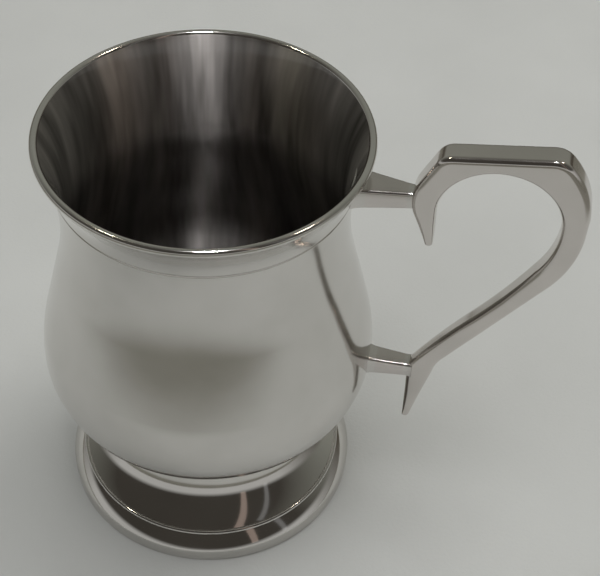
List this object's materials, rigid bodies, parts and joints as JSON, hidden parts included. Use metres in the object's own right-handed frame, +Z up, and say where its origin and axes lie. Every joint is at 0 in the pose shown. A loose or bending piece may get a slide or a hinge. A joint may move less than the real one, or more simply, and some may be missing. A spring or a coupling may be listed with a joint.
{
  "type": "tankard",
  "caption": "Polished pewter drinking tankard: a bellied bowl with an everted lip on a flared hollow foot, with an ear-shaped cast handle held off by two lugs.",
  "frame": {"origin": "on the bowl's axis, at the centre of the circle that the foot stands on", "axes": "+Z up the bowl's axis, +X from the axis towards the handle, +Y across the handle"},
  "size_m": [0.1497, 0.0972, 0.1431],
  "materials": {
    "bowl_pewter": "spun pewter, polished nearly to a mirror outside; satin inside, where it is brushed round",
    "foot_pewter": "spun pewter, mirror polished",
    "handle_pewter": "cast pewter, polished, with slightly soft reflections",
    "lug_pewter": "cast pewter, polished",
    "solder": "smoothed soft solder, slightly duller than the pewter"
  },
  "bodies": {
    "root": {"bowl": "bowl_pewter", "foot": "foot_pewter", "foot_solder": "solder", "handle": "handle_pewter", "upper_lug": "lug_pewter", "upper_bowl_solder": "solder", "upper_handle_solder": "solder", "lower_lug": "lug_pewter", "lower_bowl_solder": "solder", "lower_handle_solder": "solder"}
  },
  "joints": []
}
